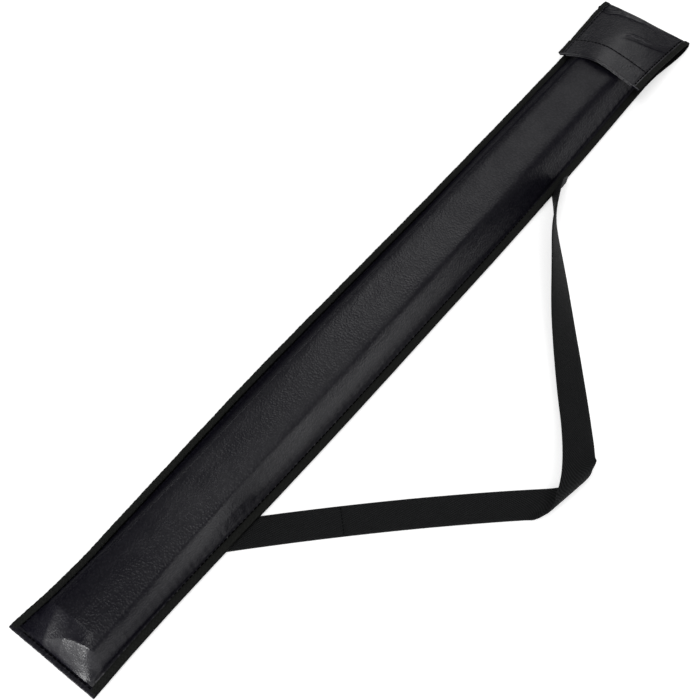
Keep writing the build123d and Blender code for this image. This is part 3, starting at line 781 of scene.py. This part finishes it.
def flap_creases(p, line):
    """Creases of the folded sheet: one along the fold, one slanting to the right edge, and unevenness."""
    total = line_length(line)
    s = np.linspace(0, 1, len(line))[:, None] * total
    y = p[..., 1]
    fold = total * FOLD_SHARE
    past = s - fold
    upper = ramp(past, -2.0, 10.0)
    first = 15.5 - 5.0 * ramp(-y, -34.0, 4.0) + 1.0 * np.sin(y / 4.1) + 0.7 * np.sin(y / 2.3 + 1.0)
    first_size = 1.0 - 0.75 * ramp(-y, -2.0, 14.0)
    ridge = 0.9 * np.exp(-((past - first) / 1.3) ** 2) - 0.7 * np.exp(-((past - first - 3.0) / 2.0) ** 2)
    slant = past - 42.0 - 0.42 * y - 0.8 * np.sin(y / 5.0)
    slant_size = ramp(-y, -3.0, 6.0) * (1 - 0.6 * ramp(-y, 34, 42))
    second = 0.95 * np.exp(-(slant / 1.5) ** 2) - 0.8 * np.exp(-((slant - 3.6) / 2.4) ** 2)
    soft = 0.42 * ripple(p, (27.0, 21.0, 30.0), 8.8) + 0.16 * ripple(p, (9.0, 7.0, 9.0), 19.2)
    fine = 0.22 * ripple(p, (5.0, 12.0, 5.0), 41.3) * np.exp(-(past / 14.0) ** 2)
    half = np.abs(p[:, :1, 1]) * (y < 0) + np.abs(p[:, -1:, 1]) * (y > 0)
    seam = np.abs(np.abs(y) - (half - FLAP_TAPE - 0.6))
    sewn = -0.4 * np.exp(-(seam / 0.8) ** 2)
    from_front = total - s
    step = 0.8 * (1 - ramp(from_front, FLAP_HEM - 1.0, FLAP_HEM + 1.2))
    groove = -0.45 * np.exp(-((from_front - FLAP_HEM) / 0.9) ** 2)
    uneven = (soft + fine) * (0.35 + 0.65 * upper)
    return ridge * first_size + second * slant_size + uneven + step + groove + sewn


def build_flap():
    """One sheet of leatherette with its lining, doubled along the front edge by the hem."""
    p, line = flap_points()
    outer = p + flap_outside(p) * (flap_creases(p, line)[..., None] + 0.3)
    normal = flap_outside(outer)
    from_front = (1 - np.linspace(0, 1, len(line))) * line_length(line)
    thick = FLAP_THICK + HEM_EXTRA * (1 - ramp(from_front, FLAP_HEM - 1.0, FLAP_HEM + 1.0))
    piece = shell("flap_sheet", outer, outer - normal * thick[:, None, None], [LEATHER, LINING])
    return piece, outer, normal, line_length(line), from_front, thick


def flap_outside(p):
    """Normals of the sheet's outer face, which is the upper one at the front edge."""
    n = grid_normals(p)
    return n * np.sign(n[-12:, 30:45, 2].mean())


flap, flap_outer, flap_normal, flap_length, flap_from_front, flap_thick = build_flap()


# --- bindings and hems -------------------------------------------------------------------------------

def tape_section(high, low, width):
    """C-shaped section of tape folded over an edge: side 0 is the edge, growing inward."""
    t = TAPE
    bend = [(-t * 0.55, high + t * 0.75), (-t, high * 0.55 + low * 0.45), (-t * 0.55, low - t * 0.75)]
    outside = [(width, high + 0.05), (width - 0.3, high + t * 0.8), (width * 0.6, high + t),
               (width * 0.25, high + t)]
    under = [(width * 0.25, low - t), (width * 0.6, low - t), (width - 0.3, low - t * 0.8),
             (width, low - 0.05)]
    inside = [(width - 0.2, low), (0.1, low), (0.0, (low + high) / 2), (0.1, high), (width - 0.2, high)]
    return outside + bend + under + inside


def pucker_of(x, amount):
    """Small regular waves that stitching draws in tape."""
    return amount * (np.sin(x * 2 * math.pi / 4.3) + 0.7 * np.sin(x * 2 * math.pi / 11.0 + 0.8) +
                     0.8 * np.sin(x * 2 * math.pi / 47.0))


def build_side_binding(side, name):
    x = np.arange(HIP_START - 2.4, MOUTH + 1.4, 0.9)
    edge = (left_edge(x) if side > 0 else right_edge(x)) - TAPE
    wave = pucker_of(x + (7.0 if side > 0 else 0.0), 0.07)
    centres = np.stack([x, side * (edge + wave * 0.8), wave * 1.3], 1)
    into = same((0.0, -side, 0.0), x)
    up = same(UP, x)
    section = tape_section(MARGIN_TOP + 0.05, MARGIN_UNDER - 0.05, TAPE_WIDTH - TAPE)
    # Run 4, the upper half of the tape's outer fold, takes the darker copy: a painted shadow line.
    return sweep(name, centres, into, up, section, [BINDING, PAINTED_SHADE_TAPE], second=(4,))


def build_flap_binding(side, name):
    """Tape round one side of the tongue and flap, following the sheet's own edge."""
    column = -1 if side > 0 else 0
    inner = -8 if side > 0 else 7
    edge = flap_outer[:, column]
    into = flap_outer[:, inner] - edge
    into /= np.linalg.norm(into, axis=1, keepdims=True)
    up = flap_normal[:, column]
    wave = pucker_of(np.linspace(0, flap_length, len(edge)), 0.07)
    centres = edge + up * wave[:, None]
    section = tape_section(0.05, -FLAP_THICK - 0.05, FLAP_TAPE - TAPE)
    # The tape's fold, underside and inner face take the darker copy: painted shade inside the fold and under
    # the flap.
    return sweep(name, centres, into, up, section, [BINDING, PAINTED_SHADE_TAPE], second=range(4, 16))


def build_flap_rims():
    """Rolled edges of the outer sheet and of the hem under it, side by side along the flap's front."""
    line, normal = flap_outer[-1, 6:-6], flap_normal[-1, 6:-6]
    ahead = flap_outer[-1, 6:-6] - flap_outer[-4, 6:-6]
    ahead /= np.linalg.norm(ahead, axis=1, keepdims=True)
    turn = np.linspace(0, 2 * math.pi, 13)[:-1]
    rims = []
    for name, drop, radius in (("upper", 0.6, 0.8), ("lower", 2.3, 0.85)):
        section = np.stack([np.cos(turn), np.sin(turn)], 1) * radius
        centres = line - normal * drop + ahead * 0.45
        rims.append(sweep("flap_rim_" + name, centres, ahead, normal, section, [RIM_LEATHER]))
    return rims


BOTTOM_HEM_WIDTH = 4.9


def build_bottom_hem():
    """Narrow strip of the leatherette turned over the bottom edge."""
    y = np.arange(-float(right_edge(0)) + 0.3, float(left_edge(0)) - 0.2, 0.9)
    wave = pucker_of(y, 0.06)
    centres = np.stack([wave - 0.9, y, wave], 1)
    into = same(ALONG, y)
    up = same(UP, y)
    section = tape_section(MARGIN_TOP, MARGIN_UNDER, BOTTOM_HEM_WIDTH)
    return sweep("bottom_hem_strip", centres, into, up, section, [HEM_LEATHER])


side_bindings = [build_side_binding(1, "side_tape_left"), build_side_binding(-1, "side_tape_right")]
flap_bindings = [build_flap_binding(1, "flap_tape_left"), build_flap_binding(-1, "flap_tape_right")]
flap_rims = build_flap_rims()
bottom_hem = build_bottom_hem()


# --- stitching ---------------------------------------------------------------------------------------

def one_stitch(length, width, tall):
    """Points and faces of one thread, pinched at its ends where it dives into the sheet."""
    rings = [(-0.5, 0.25, -0.9), (-0.36, 0.85, 0.1), (-0.12, 1.0, 0.5), (0.12, 1.0, 0.5), (0.36, 0.85, 0.1),
             (0.5, 0.25, -0.9)]
    points, uvs = [], []
    around = 8
    for s, size, lift in rings:
        for k in range(around):
            a = 2 * math.pi * k / around
            points.append((s * length, math.cos(a) * width / 2 * size,
                           math.sin(a) * tall / 2 * size + lift * tall / 2))
            uvs.append((s * length, k * width * 0.4))
    faces = []
    for r in range(len(rings) - 1):
        for k in range(around):
            m = (k + 1) % around
            faces.append([r * around + k, (r + 1) * around + k, (r + 1) * around + m, r * around + m])
    faces.append(list(range(around)))
    faces.append([(len(rings) - 1) * around + k for k in range(around - 1, -1, -1)])
    return np.array(points), faces, np.array(uvs)


def at_distance(values, d, s):
    """Values given at distances d along a line, read at the distance s."""
    return np.array([np.interp(s, d, values[:, k]) for k in range(3)])


def stitch_line(name, line, up, pitch=4.2, length=4.0, width=1.25, tall=0.55):
    """A row of threads along a line, each lying along it with up as its outside."""
    line, up = np.asarray(line, float), np.asarray(up, float)
    d = distances(line)
    count = max(1, int(d[-1] // pitch))
    at = (np.arange(count) + 0.5) * d[-1] / count
    base, faces, uvs = one_stitch(length, width, tall)
    points, all_faces, all_uvs = [], [], []
    for i, s in enumerate(at):
        centre = at_distance(line, d, s)
        ahead = at_distance(line, d, s + 1.0) - at_distance(line, d, s - 1.0)
        ahead /= np.linalg.norm(ahead)
        top = at_distance(up, d, s)
        top -= ahead * top.dot(ahead)
        top /= np.linalg.norm(top)
        side = np.cross(top, ahead)
        turn = 0.06 * math.sin(i * 2.3)
        ahead, side = ahead + side * turn, side - ahead * turn
        points.append(centre + base[:, :1] * ahead + base[:, 1:2] * side + base[:, 2:] * top)
        all_faces += [[v + i * len(base) for v in f] for f in faces]
        all_uvs.append(uvs + [s, 0])
    points = np.concatenate(points)
    uvs = np.concatenate(all_uvs)
    return make_object(name, points, all_faces, uvs, [0] * len(all_faces), [THREAD])


def build_stitches():
    rows = []
    x = np.arange(6.0, MOUTH - 1, 2.0)
    up = same(UP, x)
    for name, side, edge in (("left", 1, left_edge(x)), ("right", -1, right_edge(x))):
        line = np.stack([x, side * (edge - SEAM_IN), np.full_like(x, MARGIN_TOP - 0.3)], 1)
        row = stitch_line("side_thread_" + name, line, up)
        rows.append((row, ("side_stitches_" + name,)))
    y = np.arange(-34.0, 36.0, 2.0)
    line = np.stack([np.full_like(y, 2.4), y, np.full_like(y, MARGIN_TOP + TAPE)], 1)
    row = stitch_line("bottom_thread", line, same(UP, y), width=0.9, tall=0.4)
    rows.append((row, ("bottom_stitches",)))
    return rows


def build_flap_stitches():
    rows = []
    for name, column in (("left", -6), ("right", 5)):
        line = flap_outer[8:-1, column]
        row = stitch_line("flap_thread_" + name, line, flap_normal[8:-1, column])
        rows.append((row, ("flap_stitches_" + name,)))
    near = int(np.argmin(np.abs(flap_from_front - FLAP_HEM)))
    row = stitch_line("flap_hem_thread", flap_outer[near, 6:-6], flap_normal[near, 6:-6])
    rows.append((row, ("flap_hem_stitches",)))
    return rows


case_stitches = build_stitches()
flap_stitches = build_flap_stitches()


LOOP_TAPE_FROM = FALL_START + 24
LOOP_TAPE_TO = FALL_START + 45
LOOP_TAPE_HALF = 16.5
HOOK_TAPE_FROM = 4.0        # from the flap's front edge
HOOK_TAPE_TO = 17.5
HOOK_TAPE_HALF = 14.5


def build_loop_strip():
    """Soft half of the closure, on the front panel under the flap."""
    top = front_points()
    rows = (top[:, 0, 0] > LOOP_TAPE_FROM) & (top[:, 0, 0] < LOOP_TAPE_TO)
    cols = np.abs(top[0, :, 1]) < LOOP_TAPE_HALF
    patch = top[rows][:, cols]
    n = upward(grid_normals(patch))
    return shell("loop_tape", patch + n * 1.1, patch + n * 0.2, [HOOKS])


loop_tape = build_loop_strip()


def build_hook_strip():
    """Hook half of the closure, on the flap's lining behind the hem."""
    rows = (flap_from_front > HOOK_TAPE_FROM) & (flap_from_front < HOOK_TAPE_TO)
    cols = np.abs(flap_outer[-1, :, 1]) < HOOK_TAPE_HALF
    patch, n = flap_outer[rows][:, cols], flap_normal[rows][:, cols]
    depth = flap_thick[rows][:, None, None]
    return shell("hook_tape", patch - n * (depth - 0.1), patch - n * (depth + 0.7), [HOOKS])


hook_tape = build_hook_strip()


def build_mouth_rim():
    """Rolled edge of the front panel at the mouth."""
    top = front_points()
    line, n = top[-1, 4:-4], upward(grid_normals(top))[-1, 4:-4]
    turn = np.linspace(0, 2 * math.pi, 11)[:-1]
    section = np.stack([np.cos(turn), np.sin(turn)], 1) * 0.9
    ahead = same(ALONG, line)
    return sweep("mouth_rim", line - n * 0.9, ahead, n, section, [LEATHER])


mouth_rim = build_mouth_rim()


SPLICE_AT = 215.0           # x of the splice's middle


def build_splice():
    """Bar of stitches across the strap."""
    at = int(np.argmin(np.abs(strap_mm[:, 0] - SPLICE_AT)))
    reach = np.linspace(-WEBBING_WIDTH / 2 + 1.2, WEBBING_WIDTH / 2 - 1.2, 12)
    line = strap_mm[at] + strap_across[at] * reach[:, None] + np.array([0, 0, WEBBING / 2])
    up = same(UP, line)
    return stitch_line("strap_splice_thread", line, up, pitch=2.6, length=2.3, width=0.7)


splice = build_splice()


# --- riding and replacing ----------------------------------------------------------------------------

def dress(node, material):
    """A better material on a CAD node that stays."""
    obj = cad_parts[node]
    obj.data.materials.clear()
    obj.data.materials.append(material)
    for polygon in obj.data.polygons:
        polygon.material_index = 0


for material, nodes in ((BOARD, ("stiff_tube", "tube_end_plug")),
                        (FOAM, ("back_padding",)),
                        (FELT, ("tube_lining", "strap_backing_lower", "strap_backing_upper",
                                "strap_stitches_lower", "strap_stitches_upper"))):
    for node in nodes:
        dress(node, material)

for piece, body, slot, nodes in (
        (front, "case", "leatherette", ("front_panel", "front_padding")),
        (back, "case", "leatherette", ("back_panel",)),
        (bottom_hem, "case", "leatherette", ("bottom_hem",)),
        (side_bindings[0], "case", "binding_tape", ("side_binding_left",)),
        (side_bindings[1], "case", "binding_tape", ("side_binding_right",)),
        (loop_tape, "case", "fastener", ("loop_strip",)),
        (hook_tape, "flap", "fastener", ("hook_strip",)),
        (mouth_rim, "case", "leatherette", ("mouth_hem",)),
        (strap, "case", "webbing", ("shoulder_strap",)),
        (splice, "case", "thread", ("strap_splice_stitches",))):
    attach(piece, body)
    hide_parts(*nodes)
for piece, nodes in case_stitches:
    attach(piece, "case")
    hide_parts(*nodes)

# The sheet, its tapes, threads and rims take the place of the tongue's and flap's nodes; their placing is
# baked into their meshes.
FLAP_NODES = ("back_tongue", "tongue_lining", "flap_shell", "flap_lining", "flap_hem")
bending = [(flap, "leatherette", FLAP_NODES),
           (flap_bindings[0], "binding_tape", ("tongue_binding_left", "flap_binding_left")),
           (flap_bindings[1], "binding_tape", ("tongue_binding_right", "flap_binding_right"))]
bending += [(piece, "thread", nodes) for piece, nodes in flap_stitches]
bending += [(piece, "leatherette", ("flap_hem",)) for piece in flap_rims]
for piece, slot, nodes in bending:
    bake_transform(piece)
    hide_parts(*nodes)


# --- stage and light ---------------------------------------------------------------------------------

def area_light(name, place, target, size, power):
    data = bpy.data.lights.new(name, "AREA")
    data.shape = "RECTANGLE"
    data.size, data.size_y = size
    data.energy = power
    light = bpy.data.objects.new(name, data)
    light.location = place
    direction = Vector(target) - Vector(place)
    light.rotation_euler = direction.to_track_quat("-Z", "Y").to_euler()
    bpy.context.scene.collection.objects.link(light)


def make_stage():
    size = 6.0
    mesh = bpy.data.meshes.new("floor")
    corners = [(-size, -size, 0), (size, -size, 0), (size, size, 0), (-size, size, 0)]
    mesh.from_pydata(corners, [], [(0, 1, 2, 3)])
    floor = bpy.data.objects.new("floor", mesh)
    m, _, shader = new_material("floor")
    shader.inputs["Base Color"].default_value = (0.85, 0.85, 0.85, 1)
    shader.inputs["Emission Color"].default_value = (1, 1, 1, 1)
    shader.inputs["Emission Strength"].default_value = 0.55
    shader.inputs["Roughness"].default_value = 0.9
    shader.inputs["Specular IOR Level"].default_value = 0.1
    mesh.materials.append(m)
    bpy.context.scene.collection.objects.link(floor)


# Name, place, target, width and height, and power of each soft box.
SOFT_BOXES = [
    ("key", (-0.9, 0.1, 3.0), (0, 0, 0), (1.2, 1.2), 24),
    ("side_box", (-0.7, -1.8, 2.2), (0, 0, 0), (1.6, 1.6), 22),
    ("low_box", (-1.75, 0.17, 0.25), (-0.38, 0, 0), (0.7, 0.35), 17),
    ("far_box", (1.85, 0.5, 2.0), (0.2, 0, 0), (2.3, 1.5), 16),
    ("back_box", (2.7, 1.1, 0.95), (0.35, 0, 0), (2.4, 1.1), 4.5),
]
WORLD_LIGHT = 0.14


def make_lights():
    world = bpy.data.worlds.new("studio")
    bpy.context.scene.world = world
    world.use_nodes = True
    back = world.node_tree.nodes["Background"]
    back.inputs["Color"].default_value = (1, 1, 1, 1)
    back.inputs["Strength"].default_value = WORLD_LIGHT
    for light in SOFT_BOXES:
        area_light(*light)


make_stage()
make_lights()
bpy.context.scene.view_settings.view_transform = "Standard"
